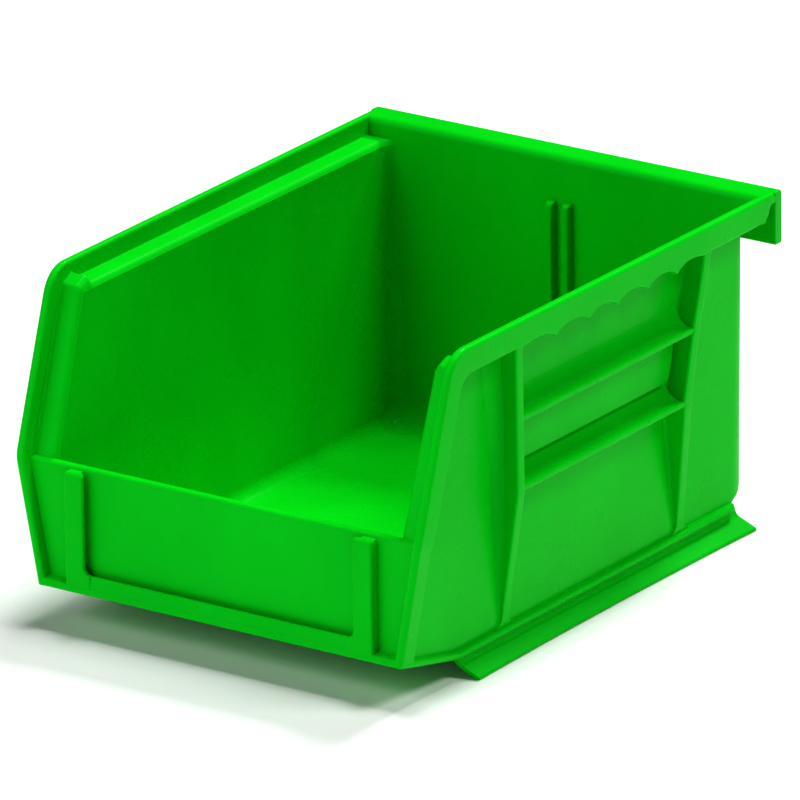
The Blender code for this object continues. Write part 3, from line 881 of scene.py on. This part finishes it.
def moulded_plastic():
    """Satin green polypropylene: faint flow marks, a fine grain and slightly uneven gloss."""
    material = bpy.data.materials.new("moulded_green")
    material.use_nodes = True
    tree = material.node_tree
    nodes, links = tree.nodes, tree.links
    shader = nodes["Principled BSDF"]
    shader.inputs["Specular IOR Level"].default_value = 0.07
    shader.inputs["Specular Tint"].default_value = (0.12, 1.0, 0.6, 1.0)
    shader.inputs["IOR"].default_value = 1.49
    place = nodes.new("ShaderNodeTexCoord").outputs["Object"]

    def noise(scale, detail, stretch=(1, 1, 1)):
        mapping = nodes.new("ShaderNodeMapping")
        mapping.inputs["Scale"].default_value = stretch
        texture = nodes.new("ShaderNodeTexNoise")
        texture.inputs["Scale"].default_value = scale
        texture.inputs["Detail"].default_value = detail
        links.new(place, mapping.inputs["Vector"])
        links.new(mapping.outputs["Vector"], texture.inputs["Vector"])
        return texture.outputs["Fac"]

    tint = nodes.new("ShaderNodeValToRGB")
    tint.color_ramp.elements[0].position = 0.30
    tint.color_ramp.elements[0].color = (0.0010, 0.495, 0.0080, 1)
    tint.color_ramp.elements[1].position = 0.72
    tint.color_ramp.elements[1].color = (0.0018, 0.555, 0.0105, 1)
    links.new(noise(45.0, 4.0, (1, 1, 0.5)), tint.inputs["Fac"])
    links.new(tint.outputs["Color"], shader.inputs["Base Color"])

    gloss = nodes.new("ShaderNodeMapRange")
    gloss.inputs["To Min"].default_value = 0.24
    gloss.inputs["To Max"].default_value = 0.33
    links.new(noise(120.0, 3.0), gloss.inputs["Value"])
    links.new(gloss.outputs["Result"], shader.inputs["Roughness"])

    grain = nodes.new("ShaderNodeBump")
    grain.inputs["Strength"].default_value = 0.12
    grain.inputs["Distance"].default_value = 0.00004
    links.new(noise(2600.0, 2.0), grain.inputs["Height"])
    waviness = nodes.new("ShaderNodeBump")
    waviness.inputs["Strength"].default_value = 0.25
    waviness.inputs["Distance"].default_value = 0.00025
    links.new(noise(55.0, 1.0), waviness.inputs["Height"])
    links.new(grain.outputs["Normal"], waviness.inputs["Normal"])
    links.new(waviness.outputs["Normal"], shader.inputs["Normal"])
    return material


# ---------------------------------------------------------------- studio


def floor():
    mesh = bmesh.new()
    bmesh.ops.create_grid(mesh, x_segments=1, y_segments=1, size=4.0)
    data = bpy.data.meshes.new("studio_floor")
    mesh.to_mesh(data)
    mesh.free()
    plane = bpy.data.objects.new("studio_floor", data)
    bpy.context.scene.collection.objects.link(plane)
    material = bpy.data.materials.new("studio_white")
    material.use_nodes = True
    shader = material.node_tree.nodes["Principled BSDF"]
    shader.inputs["Base Color"].default_value = (0.86, 0.86, 0.86, 1)
    shader.inputs["Roughness"].default_value = 0.9
    shader.inputs["Specular IOR Level"].default_value = 0.1
    data.materials.append(material)


def area_light(name, place, target, size, power):
    data = bpy.data.lights.new(name, "AREA")
    data.shape = "RECTANGLE"
    data.size, data.size_y = size
    data.energy = power
    light = bpy.data.objects.new(name, data)
    light.location = place
    light.rotation_euler = (Vector(target) - Vector(place)).to_track_quat("-Z", "Y").to_euler()
    bpy.context.scene.collection.objects.link(light)


def studio():
    centre = (0.0, 0.0, 0.04)
    area_light("overhead", (0.0, 0.2, 3.2), centre, (0.6, 0.6), 36)
    area_light("overhead_back", (0.2, 1.8, 2.6), centre, (0.8, 0.8), 70)
    area_light("front_high", (-0.8, -2.6, 2.4), centre, (1.0, 0.8), 12)
    area_light("front_sheet", (-1.6, -3.2, 1.6), centre, (4.0, 3.0), 55)
    area_light("right_high", (2.1, 0.6, 2.7), centre, (0.9, 0.9), 38)
    world = bpy.data.worlds.new("studio")
    bpy.context.scene.world = world
    world.use_nodes = True
    background = world.node_tree.nodes["Background"]
    background.inputs["Color"].default_value = (1, 1, 1, 1)
    background.inputs["Strength"].default_value = 0.02
    bpy.context.scene.view_settings.view_transform = "Standard"
    bpy.context.scene.view_settings.look = "Medium High Contrast"


def camera():
    """Long lens from the front right, a third of the way up."""
    azimuth, elevation, roll = (math.radians(angle) for angle in (34.754, 20.015, -0.849))
    distance = 2.7096
    target = Vector((-0.000213, 0.00012, 0.039094))
    back = Vector(
        (
            math.sin(azimuth) * math.cos(elevation),
            -math.cos(azimuth) * math.cos(elevation),
            math.sin(elevation),
        )
    )
    right = Vector((0, 0, 1)).cross(back).normalized()
    up = back.cross(right)
    turned_right = right * math.cos(roll) + up * math.sin(roll)
    turned_up = up * math.cos(roll) - right * math.sin(roll)
    data = bpy.data.cameras.new("camera")
    data.sensor_width = 36.0
    data.lens = 572.9
    data.clip_end = 20.0
    view = bpy.data.objects.new("camera", data)
    spin = Matrix((turned_right, turned_up, back)).transposed().to_4x4()
    view.matrix_world = Matrix.Translation(target + back * distance) @ spin
    bpy.context.scene.collection.objects.link(view)
    bpy.context.scene.camera = view


def build():
    plastic = moulded_plastic()
    tub(plastic)
    rims(plastic)
    ledges(plastic)
    front_panel(plastic)
    label_frame(plastic)
    upright_ribs(plastic)
    panel_ribs(plastic)
    name_panels(plastic)
    bottom_bands(plastic)
    stacking_rails(plastic)
    hanger(plastic)
    divider_ribs(plastic)
    floor()
    studio()
    camera()


build()
